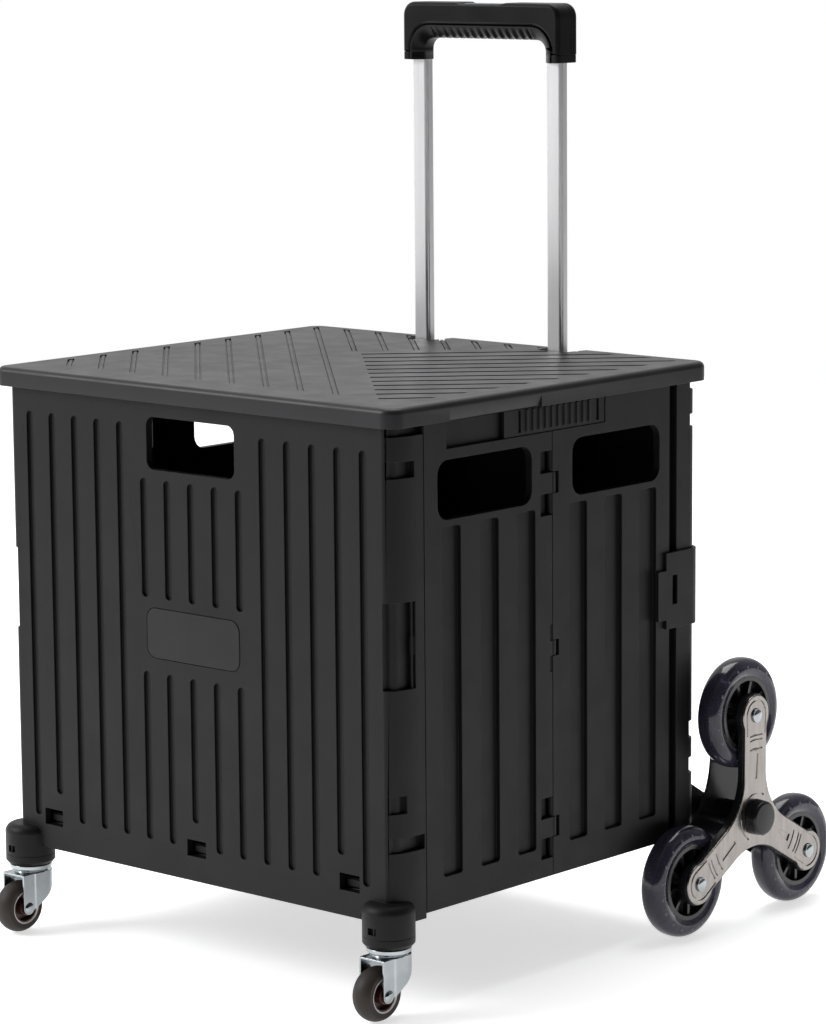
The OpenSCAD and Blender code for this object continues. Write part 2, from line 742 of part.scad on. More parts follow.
// Three-armed outline round the hub, one arm up: round arm ends joined by hollow curves
module star(shape) {
    end_r = shape[0];
    half = shape[1];
    c = (shape[2] - half) / (1 - sin(60));     // hub to the centre of a hollow curve
    hollow_r = c - shape[2];
    flare = acos(half / end_r);
    steps = 14;
    polygon([for (a = [0, 120, 240]) each turned(a, concat(
        [for (i = [0 : steps]) let (t = -flare + i * (180 + 2 * flare) / steps)
            [end_r * cos(t), arm_r + end_r * sin(t)]],
        [for (i = [0 : steps]) let (t = -i * 60 / steps)
            [-c * sin(60) + hollow_r * cos(t), c / 2 + hollow_r * sin(t)]]))]);
}

// Points turned about the origin by a
function turned(a, points) = [for (p = points) [p[0] * cos(a) - p[1] * sin(a), p[0] * sin(a) + p[1] * cos(a)]];

// Star plate in the YZ plane
module star_plate(shape, x0, t) {
    translate([x0, hub_y, hub_z]) rotate([90, 0, 90]) linear_extrude(t) difference() {
        star(shape);
        circle(axle_r + run);
        for (a = WHEEL_ANGLES) rotate(a) translate([0, arm_r]) circle(pin_r);
    }
}

module cluster_plate() { star_plate(OUTER_STAR, plate_x, plate_t); }

module cluster_back() {
    star_plate(INNER_STAR, back_x, back_t);
    difference() {
        rod_x(11, back_x + back_t - eps, plate_x - eps, hub_y, hub_z);
        rod_x(axle_r + run, back_x, plate_x + 1, hub_y, hub_z);
    }
}

// Rivets with shoulders that keep each wheel in the middle
module cluster_pins() {
    for (a = WHEEL_ANGLES) let (y = hub_y - arm_r * sin(a), z = hub_z + arm_r * cos(a)) {
        rod_x(pin_r, back_x - 0.6, plate_x + plate_t + 1, y, z);
        rod_x(6.2, plate_x + plate_t, plate_x + plate_t + 1.8, y, z);
        rod_x(7, back_x + back_t, wheel_x - 8 - gap, y, z);
        rod_x(7, wheel_x + 8 + gap, plate_x, y, z);
    }
}

module cluster_cap() {
    translate([plate_x + plate_t, hub_y, hub_z]) rotate([0, 90, 0]) difference() {
        union() {
            cylinder(r = cap_r, h = 7);
            translate([0, 0, 7]) intersection() {
                cylinder(r = cap_r, h = 5);
                translate([0, 0, -30]) sphere(r = 34, $fn = 96);
            }
        }
        translate([0, 0, -1]) cylinder(r = cap_r - 2.5, h = 8);
    }
}

// a is the arm's angle from straight up, towards the front
module at_wheel(a) {
    translate([wheel_x, hub_y - arm_r * sin(a), hub_z + arm_r * cos(a)]) rotate([0, 90, 0]) children();
}

module tyre(a) {
    at_wheel(a) rotate_extrude($fn = 96) {
        translate([core_r, -wheel_w / 2 + 1.5]) square([5, wheel_w - 3]);
        intersection() {
            translate([core_r + 3, -wheel_w / 2]) square([20, wheel_w]);
            translate([wheel_r - 13, 0]) circle(13, $fn = 64);
        }
    }
}

module core(a) {
    at_wheel(a) {
        rotate_extrude($fn = 96) {
            translate([pin_r + run, -8]) square([8, 16]);
            translate([10, -1.5]) square([core_r - 12, 3]);
            translate([core_r - 4, -wheel_w / 2 + 1.5]) square([4 - eps, wheel_w - 3]);
        }
        for (i = [0 : 8]) rotate(i * 40) translate([10, -1.6, -7]) cube([core_r - 12, 3.2, 14]);
    }
}

module cluster_plate_right() { color([0.62, 0.6, 0.57]) at_crate() cluster_plate(); }
module cluster_back_right() { color([0.04, 0.04, 0.045]) at_crate() cluster_back(); }
module cluster_pins_right() { color("silver") at_crate() cluster_pins(); }
module cluster_cap_right() { color([0.05, 0.05, 0.055]) at_crate() cluster_cap(); }
module cluster_plate_left() { color([0.62, 0.6, 0.57]) at_crate() mirror([1, 0, 0]) cluster_plate(); }
module cluster_back_left() { color([0.04, 0.04, 0.045]) at_crate() mirror([1, 0, 0]) cluster_back(); }
module cluster_pins_left() { color("silver") at_crate() mirror([1, 0, 0]) cluster_pins(); }
module cluster_cap_left() { color([0.05, 0.05, 0.055]) at_crate() mirror([1, 0, 0]) cluster_cap(); }

// Stair wheels: i is 0 for the top one, 1 for the front one, 2 for the rear one
module stair_tyre(side, i) { color([0.35, 0.33, 0.4]) at_crate() on_side(side) tyre(WHEEL_ANGLES[i]); }
module stair_core(side, i) { color([0.04, 0.04, 0.045]) at_crate() on_side(side) core(WHEEL_ANGLES[i]); }

front_panel();
back_panel();
side_right_front();
side_right_rear();
side_left_front();
side_left_rear();
front_hinge_pins();
mid_hinge_pins();
rear_hinge_pins();
label_plate();
floor_panel();
floor_hinge_pins();
lid();
lock_slider_right();
lock_slider_left();
latch_right();
latch_left();
latch_pins();
handle_sleeves();
sleeve_collars();
handle_lower_tubes();
handle_upper_tubes();
handle_grip();
grip_base();
grip_button();
axle_brackets();
main_axle();
axle_spacers();
axle_clips();
caster_collars();
caster_fork_right();
caster_axle_right();
caster_tyre_right();
caster_hub_right();
caster_fork_left();
caster_axle_left();
caster_tyre_left();
caster_hub_left();
cluster_plate_right();
cluster_back_right();
cluster_pins_right();
cluster_cap_right();
cluster_plate_left();
cluster_back_left();
cluster_pins_left();
cluster_cap_left();
stair_tyre(right, 0);  // tyre_right_top
stair_tyre(right, 1);  // tyre_right_front
stair_tyre(right, 2);  // tyre_right_rear
stair_core(right, 0);  // core_right_top
stair_core(right, 1);  // core_right_front
stair_core(right, 2);  // core_right_rear
stair_tyre(left, 0);  // tyre_left_top
stair_tyre(left, 1);  // tyre_left_front
stair_tyre(left, 2);  // tyre_left_rear
stair_core(left, 0);  // core_left_top
stair_core(left, 1);  // core_left_front
stair_core(left, 2);  // core_left_rear
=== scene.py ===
"""Looks of the stair climbing trolley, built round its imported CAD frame.

Shapes are (points, faces) in crate coordinates: millimetres, x to the right, y towards the handle,
z up from the floor, with y = 0 in the middle of the crate. piece() turns them into metres in the frame.
"""

import math

import bmesh
import bpy
from mathutils import Matrix, Vector


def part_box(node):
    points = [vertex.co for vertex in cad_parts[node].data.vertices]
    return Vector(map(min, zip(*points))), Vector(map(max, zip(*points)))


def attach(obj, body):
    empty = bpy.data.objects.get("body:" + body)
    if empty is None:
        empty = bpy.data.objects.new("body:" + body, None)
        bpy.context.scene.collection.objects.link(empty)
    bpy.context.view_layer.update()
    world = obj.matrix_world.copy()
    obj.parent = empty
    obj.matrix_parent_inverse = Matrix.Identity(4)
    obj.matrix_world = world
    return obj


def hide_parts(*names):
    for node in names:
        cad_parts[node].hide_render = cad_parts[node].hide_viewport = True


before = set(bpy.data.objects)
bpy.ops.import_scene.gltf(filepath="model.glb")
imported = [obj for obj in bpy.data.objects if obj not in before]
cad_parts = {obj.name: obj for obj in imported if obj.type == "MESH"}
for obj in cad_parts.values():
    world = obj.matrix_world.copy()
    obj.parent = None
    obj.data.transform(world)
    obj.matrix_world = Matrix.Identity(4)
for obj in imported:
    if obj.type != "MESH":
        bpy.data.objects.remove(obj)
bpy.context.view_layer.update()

MM = 0.001
SIDES = {"right": 1, "left": -1}
WHEELS = ("top", "front", "rear")
ARMS = 3

lid_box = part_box("lid")
CRATE_Y = (lid_box[0].y + lid_box[1].y) / 2


def place(p):
    """Crate coordinates in mm to the frame in metres."""
    return Vector((p[0] * MM, p[1] * MM + CRATE_Y, p[2] * MM))


def box_mm(node):
    """Lowest and highest corner of a CAD node in crate coordinates."""
    return [Vector((c.x / MM, (c.y - CRATE_Y) / MM, c.z / MM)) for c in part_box(node)]


def middle(node):
    low, high = box_mm(node)
    return (low + high) / 2


# ---------------------------------------------------------------- shapes


def loft(rings, loop=False):
    """Closed skin over rings of equal length: capped at both ends, or joined end to end."""
    n = len(rings[0])
    points = [p for ring in rings for p in ring]
    pairs = [(k, k + 1) for k in range(len(rings) - 1)]
    faces = []
    if loop:
        pairs.append((len(rings) - 1, 0))
    else:
        last = (len(rings) - 1) * n
        faces = [tuple(range(n)), tuple(range(last, last + n))]
    for a, b in pairs:
        for i in range(n):
            j = (i + 1) % n
            faces.append((a * n + i, a * n + j, b * n + j, b * n + i))
    return points, faces


def arc(centre, radius, start, end, steps):
    """Points on an arc, in degrees, both ends included."""
    angles = [math.radians(start + (end - start) * i / steps) for i in range(steps + 1)]
    return [(centre[0] + radius * math.cos(a), centre[1] + radius * math.sin(a)) for a in angles]


def round_rect(w, h, r, steps=6, centre=(0, 0)):
    """Outline of a rectangle with round corners."""
    outline = []
    for k, (sx, sy) in enumerate(((1, 1), (-1, 1), (-1, -1), (1, -1))):
        c = (centre[0] + sx * (w / 2 - r), centre[1] + sy * (h / 2 - r))
        outline += arc(c, r, 90 * k, 90 * k + 90, steps)
    return outline


def offset(outline, d):
    """The outline moved inwards by d, for points that run anticlockwise."""
    moved = []
    for i, p in enumerate(outline):
        a, b = Vector(outline[i - 1]), Vector(outline[(i + 1) % len(outline)])
        side = (b - a).normalized()
        moved.append((p[0] - side.y * d, p[1] + side.x * d))
    return moved


def prism(outline, low, high, plane="xy"):
    """The outline pushed from low to high along the axis that its plane leaves out."""
    put = {
        "xy": lambda p, h: (p[0], p[1], h),
        "xz": lambda p, h: (p[0], h, p[1]),
        "yz": lambda p, h: (h, p[0], p[1]),
    }[plane]
    return loft([[put(p, low) for p in outline], [put(p, high) for p in outline]])


def block(a, b):
    return prism([(a[0], a[1]), (b[0], a[1]), (b[0], b[1]), (a[0], b[1])], a[2], b[2])


def turned(profile, steps=48, loop=False):
    """Turned round the X axis from (x, radius) points."""
    angles = [2 * math.pi * i / steps for i in range(steps)]
    return loft([[(x, r * math.sin(a), r * math.cos(a)) for a in angles] for x, r in profile], loop)


def upright(shape):
    """A shape round the X axis, stood on end round the Z axis."""
    points, faces = shape
    return [(z, y, x) for x, y, z in points], faces


def moved(shape, by):
    points, faces = shape
    return [tuple(Vector(p) + Vector(by)) for p in points], faces


def spun(shape, degrees, about=(0, 0, 0), axis="X"):
    turn = Matrix.Rotation(math.radians(degrees), 3, axis)
    points, faces = shape
    return [tuple(turn @ (Vector(p) - Vector(about)) + Vector(about)) for p in points], faces


def mirrored(shape):
    points, faces = shape
    return [(-x, y, z) for x, y, z in points], faces


def joined(shapes):
    points, faces = [], []
    for more_points, more_faces in shapes:
        start = len(points)
        points += more_points
        faces += [tuple(i + start for i in face) for face in more_faces]
    return points, faces


def to_mesh(name, shape):
    """Mesh in the frame's metres, with its faces turned outwards."""
    points, faces = shape
    mesh = bpy.data.meshes.new(name)
    mesh.from_pydata([place(p) for p in points], [], faces)
    work = bmesh.new()
    work.from_mesh(mesh)
    bmesh.ops.recalc_face_normals(work, faces=work.faces)
    work.to_mesh(mesh)
    work.free()
    return mesh


def carved(mesh, shapes, operation="DIFFERENCE"):
    """The mesh after a boolean with each shape in turn."""
    for shape in shapes:
        pair = [bpy.data.objects.new("work", mesh), bpy.data.objects.new("cutter", to_mesh("cutter", shape))]
        for o in pair:
            bpy.context.scene.collection.objects.link(o)
        cut = pair[0].modifiers.new("cut", "BOOLEAN")
        cut.object, cut.operation, cut.solver, cut.use_self = pair[1], operation, "EXACT", True
        bpy.context.view_layer.update()
        evaluated = pair[0].evaluated_get(bpy.context.evaluated_depsgraph_get())
        mesh = bpy.data.meshes.new_from_object(evaluated)
        for o in pair:
            bpy.data.objects.remove(o)
    return mesh


# ---------------------------------------------------------------- materials


class Finish:
    """One procedural material, with the record's slot that it belongs to."""

    def __init__(self, name, **sockets):
        self.slot = name
        self.material = bpy.data.materials.new(name + "_finish")
        self.material.use_nodes = True
        self.tree = self.material.node_tree
        self.shader = self.tree.nodes["Principled BSDF"]
        self.place = self.tree.nodes.new("ShaderNodeTexCoord").outputs["Object"]
        for key, value in sockets.items():
            self.shader.inputs[key.replace("_", " ").replace("level", "Level")].default_value = value

    def link(self, output, target):
        self.tree.links.new(output, target)

    def noise(self, scale, detail=3.0, stretch=(1, 1, 1)):
        """Texture value, scale in features per metre."""
        mapping = self.tree.nodes.new("ShaderNodeMapping")
        mapping.inputs["Scale"].default_value = stretch
        self.link(self.place, mapping.inputs["Vector"])
        texture = self.tree.nodes.new("ShaderNodeTexNoise")
        texture.inputs["Scale"].default_value = scale
        texture.inputs["Detail"].default_value = detail
        self.link(mapping.outputs["Vector"], texture.inputs["Vector"])
        return texture.outputs[0]

    def ramp(self, value, stops):
        """Colour ramp from (position, colour) stops."""
        ramp = self.tree.nodes.new("ShaderNodeValToRGB")
        while len(ramp.color_ramp.elements) < len(stops):
            ramp.color_ramp.elements.new(0.5)
        for element, (position, colour) in zip(ramp.color_ramp.elements, stops):
            element.position = position
            element.color = (*colour, 1)
        self.link(value, ramp.inputs["Fac"])
        return ramp.outputs["Color"]

    def between(self, value, low, high, start=0.3, end=0.7):
        """The value's middle range spread from low to high."""
        spread = self.tree.nodes.new("ShaderNodeMapRange")
        for key, number in (("From Min", start), ("From Max", end), ("To Min", low), ("To Max", high)):
            spread.inputs[key].default_value = number
        self.link(value, spread.inputs["Value"])
        return spread.outputs["Result"]

    def mixed(self, factor, a, b):
        mix = self.tree.nodes.new("ShaderNodeMix")
        mix.data_type = "RGBA"
        self.link(factor, mix.inputs["Factor"])
        self.link(a, mix.inputs["A"])
        self.link(b, mix.inputs["B"])
        return mix.outputs["Result"]

    def colour(self, output):
        self.link(output, self.shader.inputs["Base Color"])
        return self

    def roughness(self, output):
        self.link(output, self.shader.inputs["Roughness"])
        return self

    def bump(self, height, distance, strength=1.0):
        """Relief of the surface, distance in metres."""
        bump = self.tree.nodes.new("ShaderNodeBump")
        bump.inputs["Strength"].default_value = strength
        bump.inputs["Distance"].default_value = distance
        self.link(height, bump.inputs["Height"])
        self.link(bump.outputs["Normal"], self.shader.inputs["Normal"])
        return self


def moulded(name, dark, light, rough, grain=2600, relief=0.00006, **sockets):
    """Moulded plastic: fine spark-eroded grain, cloudy tone, edges a little paler, partly from handling wear
    and partly a painted highlight.
    """
    f = Finish(name, **sockets)
    cloud = f.ramp(f.noise(14, 5), ((0.3, dark), (0.7, light)))
    # edges are painted paler: partly handling wear, partly a painted highlight where the edges catch the
    # light
    edge = f.tree.nodes.new("ShaderNodeNewGeometry").outputs["Pointiness"]
    edge_wear_and_highlight = f.between(edge, 0.0, 0.35, 0.52, 0.6)
    wear_and_highlight_stops = [(at, tuple(gain * c for c in light)) for at, gain in ((0.0, 1.8), (1.0, 2.6))]
    wear_and_highlight_tone = f.ramp(f.noise(300, 2), wear_and_highlight_stops)
    f.colour(f.mixed(edge_wear_and_highlight, cloud, wear_and_highlight_tone))
    f.roughness(f.between(f.noise(40, 6), rough[0], rough[1]))
    return f.bump(f.noise(grain, 2), relief, 0.35)


def metal(name, dark, light, rough, streak=(1, 1, 1), scale=60, relief=0.00002, **sockets):
    """Bare or plated metal: tone and gloss drift along the streaks, with fine scratches."""
    f = Finish(name, Metallic=1.0, **sockets)
    f.colour(f.ramp(f.noise(scale, 4, streak), ((0.25, dark), (0.75, light))))
    f.roughness(f.between(f.noise(scale * 2, 5, streak), rough[0], rough[1]))
    return f.bump(f.noise(scale * 30, 2, streak), relief, 0.25)


box_finish = moulded("body_plastic", (0.0045, 0.0045, 0.0047), (0.0065, 0.0065, 0.0068), (0.44, 0.52),
                     Specular_IOR_level=0.2)
lid_finish = moulded("lid_plastic", (0.009, 0.008, 0.0093), (0.013, 0.0115, 0.0134), (0.38, 0.46),
                     grain=3200, Specular_IOR_level=0.3)
# darker, duller copy of the body plastic: painted shade for the lips behind the rear hinge gap
hinge_shade_finish = moulded("body_plastic", (0.002, 0.002, 0.0022), (0.003, 0.003, 0.0032), (0.6, 0.7),
                        Specular_IOR_level=0.1)
grip_finish = moulded("grip_plastic", (0.004, 0.004, 0.0042), (0.006, 0.006, 0.0063), (0.3, 0.38),
                      Specular_IOR_level=0.15)
button_finish = moulded("button_plastic", (0.045, 0.050, 0.062), (0.06, 0.066, 0.08), (0.25, 0.35))
plate_finish = moulded("plate_plastic", (0.010, 0.010, 0.0103), (0.014, 0.014, 0.0145), (0.4, 0.5),
                       relief=0.00002, Specular_IOR_level=0.2)
tube_finish = metal("aluminium_tube", (0.72, 0.72, 0.73), (0.79, 0.79, 0.80), (0.4, 0.5),
                    streak=(1, 1, 0.02), scale=260, Anisotropic=0.4)
zinc_finish = metal("zinc_steel", (0.33, 0.355, 0.37), (0.40, 0.43, 0.445), (0.14, 0.22),
                    scale=90, relief=0.00001)
nickel_finish = metal("nickel_plate", (0.25, 0.233, 0.219), (0.335, 0.313, 0.296), (0.2, 0.3),
                      streak=(1, 1, 0.2), scale=200)
black_finish = moulded("black_steel", (0.006, 0.006, 0.007), (0.010, 0.010, 0.012), (0.16, 0.24),
                       grain=900, relief=0.00002, Specular_IOR_level=0.3)
caster_tyre_finish = moulded("caster_tyre", (0.019, 0.0145, 0.0115), (0.028, 0.0215, 0.0175), (0.5, 0.62),
                             grain=1800, Specular_IOR_level=0.35)
caster_hub_finish = moulded("caster_hub", (0.045, 0.016, 0.014), (0.065, 0.024, 0.020), (0.3, 0.4))
rim_finish = moulded("caster_hub", (0.62, 0.58, 0.59), (0.72, 0.68, 0.69), (0.3, 0.4))
core_finish = moulded("stair_core", (0.006, 0.006, 0.007), (0.010, 0.010, 0.011), (0.2, 0.3), relief=0.00002)

stair_tyre_finish = Finish("stair_tyre", Transmission_Weight=0.45, IOR=1.45)
stair_tyre_finish.colour(stair_tyre_finish.ramp(
    stair_tyre_finish.noise(45, 4), ((0.3, (0.030, 0.028, 0.046)), (0.7, (0.052, 0.048, 0.074)))))
stair_tyre_finish.roughness(stair_tyre_finish.between(stair_tyre_finish.noise(80, 3), 0.08, 0.16))
stair_tyre_finish.bump(stair_tyre_finish.noise(260, 2), 0.0001, 0.3)

lens_finish = Finish("stair_tyre", Transmission_Weight=0.3, IOR=1.45)
lens_finish.colour(lens_finish.ramp(
    lens_finish.noise(60, 3), ((0.3, (0.10, 0.095, 0.14)), (0.7, (0.15, 0.145, 0.20)))))
lens_finish.roughness(lens_finish.between(lens_finish.noise(90, 3), 0.04, 0.1))


# ---------------------------------------------------------------- pieces


def soften(o, bevel):
    """Softened edges and even shading, without touching the mesh itself."""
    if bevel:
        soft = o.modifiers.new("soft_edges", "BEVEL")
        soft.width, soft.segments, soft.limit_method = bevel * MM, 2, "ANGLE"
        soft.angle_limit, soft.use_clamp_overlap = math.radians(28), False
    even = o.modifiers.new("even_shading", "WEIGHTED_NORMAL")
    even.weight, even.keep_sharp = 80, False


def piece(name, shape, finish, body, stands_for=(), bevel=0.4):
    """A shown piece from a shape or a finished mesh."""
    mesh = to_mesh(name, shape) if isinstance(shape, tuple) else shape
    mesh.materials.clear()
    mesh.materials.append(finish.material)
    mesh.shade_smooth()
    o = bpy.data.objects.new(name, mesh)
    bpy.context.scene.collection.objects.link(o)
    soften(o, bevel)
    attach(o, body)
    if stands_for:
        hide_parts(*stands_for)
    return o


def keep(node, finish, bevel=0.4):
    """A CAD node that stays, with its own finish and softened edges."""
    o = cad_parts[node]
    for s in o.material_slots:
        s.material = finish.material
    weld = o.modifiers.new("weld", "WELD")
    weld.merge_threshold = 0.01 * MM
    flat = o.modifiers.new("flat_faces", "DECIMATE")
    flat.decimate_type, flat.angle_limit = "DISSOLVE", math.radians(1)
    soften(o, bevel)


for node in ("front_panel", "back_panel", "side_right_front", "side_right_rear", "side_left_front",
             "side_left_rear", "floor_panel", "lock_slider_right", "lock_slider_left",
             "latch_right", "latch_left", "latch_pins", "sleeve_collars", "axle_brackets",
             "axle_spacers", "caster_collars"):
    keep(node, box_finish)
for node in ("front_hinge_pins", "mid_hinge_pins", "rear_hinge_pins", "floor_hinge_pins", "main_axle",
             "axle_clips", "cluster_pins_right", "cluster_pins_left"):
    keep(node, zinc_finish, 0.2)
for node in ("handle_sleeves", "handle_lower_tubes", "handle_upper_tubes"):
    keep(node, tube_finish, 0.2)
for side in SIDES:
    keep("caster_tyre_" + side, caster_tyre_finish, 0)
    keep("caster_hub_" + side, caster_hub_finish, 0.3)
    keep("cluster_back_" + side, black_finish, 0.3)
    for wheel in WHEELS:
        keep(f"core_{side}_{wheel}", core_finish, 0.3)
keep("label_plate", plate_finish, 0.6)
keep("grip_button", button_finish, 0.5)



# ---- thin lips inside the side walls, behind the middle seam and the rear hinge gap ----

SEAM_X, SEAM_LIP = 213.2, 1.2
GAP_X, GAP_LIP = 216.2, 1.0
SEAM_SPAN = (-8, 12)
SEAM_LOW, SEAM_HIGH = 91, 441
GAP_HIGH = 488
panel_bottom = box_mm("back_panel")[0].z
side_end = box_mm("side_right_rear")[1].y
seam = block((SEAM_X, SEAM_SPAN[0], SEAM_LOW), (SEAM_X + SEAM_LIP, SEAM_SPAN[1], SEAM_HIGH))
gap = block((GAP_X, side_end - 12, panel_bottom), (GAP_X + GAP_LIP, side_end + 5, GAP_HIGH))
piece("seam_shields", joined([seam, mirrored(seam)]), box_finish, "crate", (), 0.3)
# the rear hinge lips take the darker copy of the body plastic, which is painted shade in the gap
piece("hinge_shade_lips", joined([gap, mirrored(gap)]), hinge_shade_finish, "crate", (), 0.3)


# ---- lid ----

LID_CORNER = 14
LID_ROUND = 5
LID_SKIN = 3.4
STRIP_PITCH = 27.4
STRIP_W = 5.5
EDGE_W = 1.3
EDGE_DEPTH = 1.7
FAR = 330  # past the field of strips, which is cut to size afterwards


def clipped(outline, low, high):
    """The part of a flat outline inside a rectangle."""
    edges = [(axis, corner[axis], corner is high) for axis in (0, 1) for corner in (low, high)]
    for axis, limit, keep_below in edges:

        def inside(p):
            return (p[axis] <= limit) == keep_below or p[axis] == limit

        kept = []
        for i, p in enumerate(outline):
            q = outline[i - 1]
            if inside(p) != inside(q):
                t = (limit - q[axis]) / (p[axis] - q[axis])
                kept.append(tuple(q[k] + t * (p[k] - q[k]) for k in (0, 1)))
            if inside(p):
                kept.append(p)
        outline = kept
        if not outline:
            return []
    return outline


def lid_shape():
    """Shell of the lid, open below, its upper edge rounded."""
    low, high = box_mm("lid")
    w, d = high.x - low.x, high.y - low.y

    def ring(inset, z):
        return [(x, y, z) for x, y in round_rect(w - 2 * inset, d - 2 * inset, LID_CORNER - inset, 8)]

    rings = [ring(LID_SKIN, high.z - LID_SKIN), ring(LID_SKIN, low.z), ring(0, low.z)]
    for k in range(7):
        a = math.radians(15 * k)
        rings.append(ring(LID_ROUND * (1 - math.cos(a)), high.z - LID_ROUND + LID_ROUND * math.sin(a)))
    return loft(rings)


def lid_cuts():
    """Notches round the tubes, finger recesses over the slide locks, and two fields of diagonal strips."""
    low, high = box_mm("lid")
    tube = box_mm("handle_sleeves")
    tube_x, tube_y = tube[1].x - 11.5, (tube[0].y + tube[1].y) / 2
    back = high.y + 2
    notch = [(-15, tube_y - 10.5), (15, tube_y - 10.5), (21, back), (-21, back)]
    both = [prism([(x + s * tube_x, y) for x, y in notch], low.z - 2, high.z + 2) for s in (-1, 1)]
    wedge = [(high.x + 1, low.z + 13.4), (high.x - 3.1, low.z - 1), (high.x + 1, low.z - 1)]
    finger = prism(wedge, -135, -22, "xz")
    both += [finger, mirrored(finger)]
    field = ((low.x + 16.5, low.y + 43.5), (high.x - 24.5, high.y - 13.5))
    strips = []
    recess = (0.8, STRIP_W - 0.8, 0.7)
    edges = ((0, EDGE_W, EDGE_DEPTH), (STRIP_W - EDGE_W, STRIP_W, EDGE_DEPTH))
    for start, end, depth in (recess, *edges):
        for i in range(-10, 7):
            s, stop = i * STRIP_PITCH + 4, FAR if i < 0 else -90
            strips.append((depth, [(-FAR, s + start), (stop, s + start), (stop, s + end), (-FAR, s + end)]))
        for i in range(-2, 10):
            q = i * STRIP_PITCH - 14
            strips.append((depth, [(q + start, 12), (q + end, 12), (q + end, 342), (q + start, 342)]))
    c = math.sqrt(0.5)
    for depth, strip in strips:
        flat = clipped([(c * (q + s), c * (s - q)) for q, s in strip], *field)
        if len(flat) > 2:
            both.append(prism(flat, high.z - depth, high.z + 2))
    return joined(both)


piece("lid_cover", carved(to_mesh("lid_cover", lid_shape()), [lid_cuts()]), lid_finish, "lid", ["lid"], 0.3)


# ---- handle grip ----

grip_low, grip_high = box_mm("handle_grip")
base_low = box_mm("grip_base")[0]
tube_centre_y = (grip_low.y + grip_high.y) / 2
GRIP_DEPTH = grip_high.y - grip_low.y
LEG = 21
BAR = 32
BAND = 12
OPENING_R = 10
SHELL_R = 12
BAR_STEPS = 150
RIB_SPAN = 56
RIB_PITCH = 8
RIB_RISE = 1.7


def opening_path(grow, steps=10):
    """Half-way line of the finger opening, grown outwards by grow: up, across and down."""
    half = (grip_high.x - grip_low.x) / 2 - LEG + grow
    top = grip_high.z - BAR + grow
    r = OPENING_R + grow
    left = arc((-half + r, top - r), r, 180, 90, steps)
    right = arc((half - r, top - r), r, 90, 0, steps)
    return left, right


def grip_shell():
    """Upper shell of the grip: rounded edges, with two fine grooves round its outline."""
    low, high = grip_low, grip_high
    left, right = opening_path(BAND, 8)
    outline = [(high.x, low.z)]
    outline += arc((high.x - SHELL_R, high.z - SHELL_R), SHELL_R, 0, 90, 8)
    outline += arc((low.x + SHELL_R, high.z - SHELL_R), SHELL_R, 90, 180, 8)
    outline += [(low.x, low.z), (left[0][0], low.z)] + left + right + [(right[-1][0], low.z)]
    half = GRIP_DEPTH / 2
    profile = [(-half, 3.2), (-half + 0.9, 1.5), (-half + 2.2, 0.4), (-half + 3.6, 0)]
    for groove in (4.0, 7.6):
        profile += [(groove - 0.5, 0), (groove, 0.55), (groove + 0.5, 0)]
    profile += [(half - 3, 0), (half - 1.8, 0.4), (half - 0.8, 1.4), (half, 3.0)]
    rings = [[(x, tube_centre_y + y, z) for x, z in offset(outline, inset)] for y, inset in profile]
    return loft(rings)


def grip_band():
    """Rounded lower band of the grip, with finger ribs along the bar."""
    left, right = opening_path(0)
    outer_left, outer_right = opening_path(BAND)
    foot = base_low.z
    half = (GRIP_DEPTH - 1) / 2
    inner = [(left[0][0], foot)] + left
    outer = [(outer_left[0][0], foot)] + outer_left
    for i in range(1, BAR_STEPS):
        t = i / BAR_STEPS
        inner.append((left[-1][0] + t * (right[0][0] - left[-1][0]), left[-1][1]))
        outer.append((outer_left[-1][0] + t * (outer_right[0][0] - outer_left[-1][0]), outer_left[-1][1]))
    inner += right + [(right[-1][0], foot)]
    outer += outer_right + [(outer_right[-1][0], foot)]
    rings = []
    for a, b in zip(inner, outer):
        rib = 0.0
        if abs(a[0]) < RIB_SPAN and a[1] > left[-1][1] - 0.01:
            rib = RIB_RISE * (0.5 - 0.5 * math.cos(2 * math.pi * (a[0] / RIB_PITCH + 0.5)))
        ring = []
        for k in range(-8, 9):
            turn = math.radians(90 * k / 8)
            depth = half * (0.36 * abs(math.sin(turn)) ** 0.8 + 0.64 * abs(math.sin(turn)) ** 2.2)
            n = 1 - math.cos(turn) ** 1.3
            y = math.copysign(min(half, 4 + depth * (half - 4) / half), k) if k else 0.0
            n = min(1.0, n + rib / BAND * math.cos(turn))
            ring.append((a[0] + n * (b[0] - a[0]), tube_centre_y + y, a[1] + n * (b[1] - a[1])))
        rings.append(ring)
    return loft(rings)


def leg_feet():
    """Lowest part of the grip, which closes it round each tube."""
    w = LEG - BAND + 1
    foot = round_rect(w, GRIP_DEPTH - 1, 3.5, 4, (grip_high.x - w / 2, tube_centre_y))
    foot = prism(foot, base_low.z, grip_low.z - 0.1)
    return [foot, mirrored(foot)]


def grip_cuts():
    """Pockets for the tubes and the button."""
    tube_high = box_mm("handle_upper_tubes")[1]
    x = tube_high.x - 8
    socket = prism(round_rect(16.2, 11.2, 2.5, 4, (x, tube_centre_y)), base_low.z - 2, tube_high.z)
    cuts = [mirrored(socket), socket]
    cuts.append(prism(round_rect(47, 17, 4, 4, (0, tube_centre_y)), grip_high.z - 10, grip_high.z + 5))
    saddle = [(-30, 1), (-24, -2.2), (24, -2.2), (30, 1)]
    cuts.append(prism([(x, grip_high.z + z) for x, z in saddle], grip_low.y - 1, grip_high.y + 1, "xz"))
    return joined(cuts)


piece("grip_cover", carved(to_mesh("grip_cover", grip_shell()), [grip_cuts()]), grip_finish, "handle_upper",
      ["handle_grip"], 0.2)
piece("grip_under", grip_band(), grip_finish, "handle_upper", ["grip_base"], 0)
piece("grip_feet", carved(to_mesh("grip_feet", joined(leg_feet())), [grip_cuts()]), grip_finish,
      "handle_upper", (), 0.5)


# ---- front casters ----

CASTER_TRAIL = 15
FORK_HALF = 13.4
FORK_WALL = 1.8
FORK_TOP = 52
FORK_BACK = 20


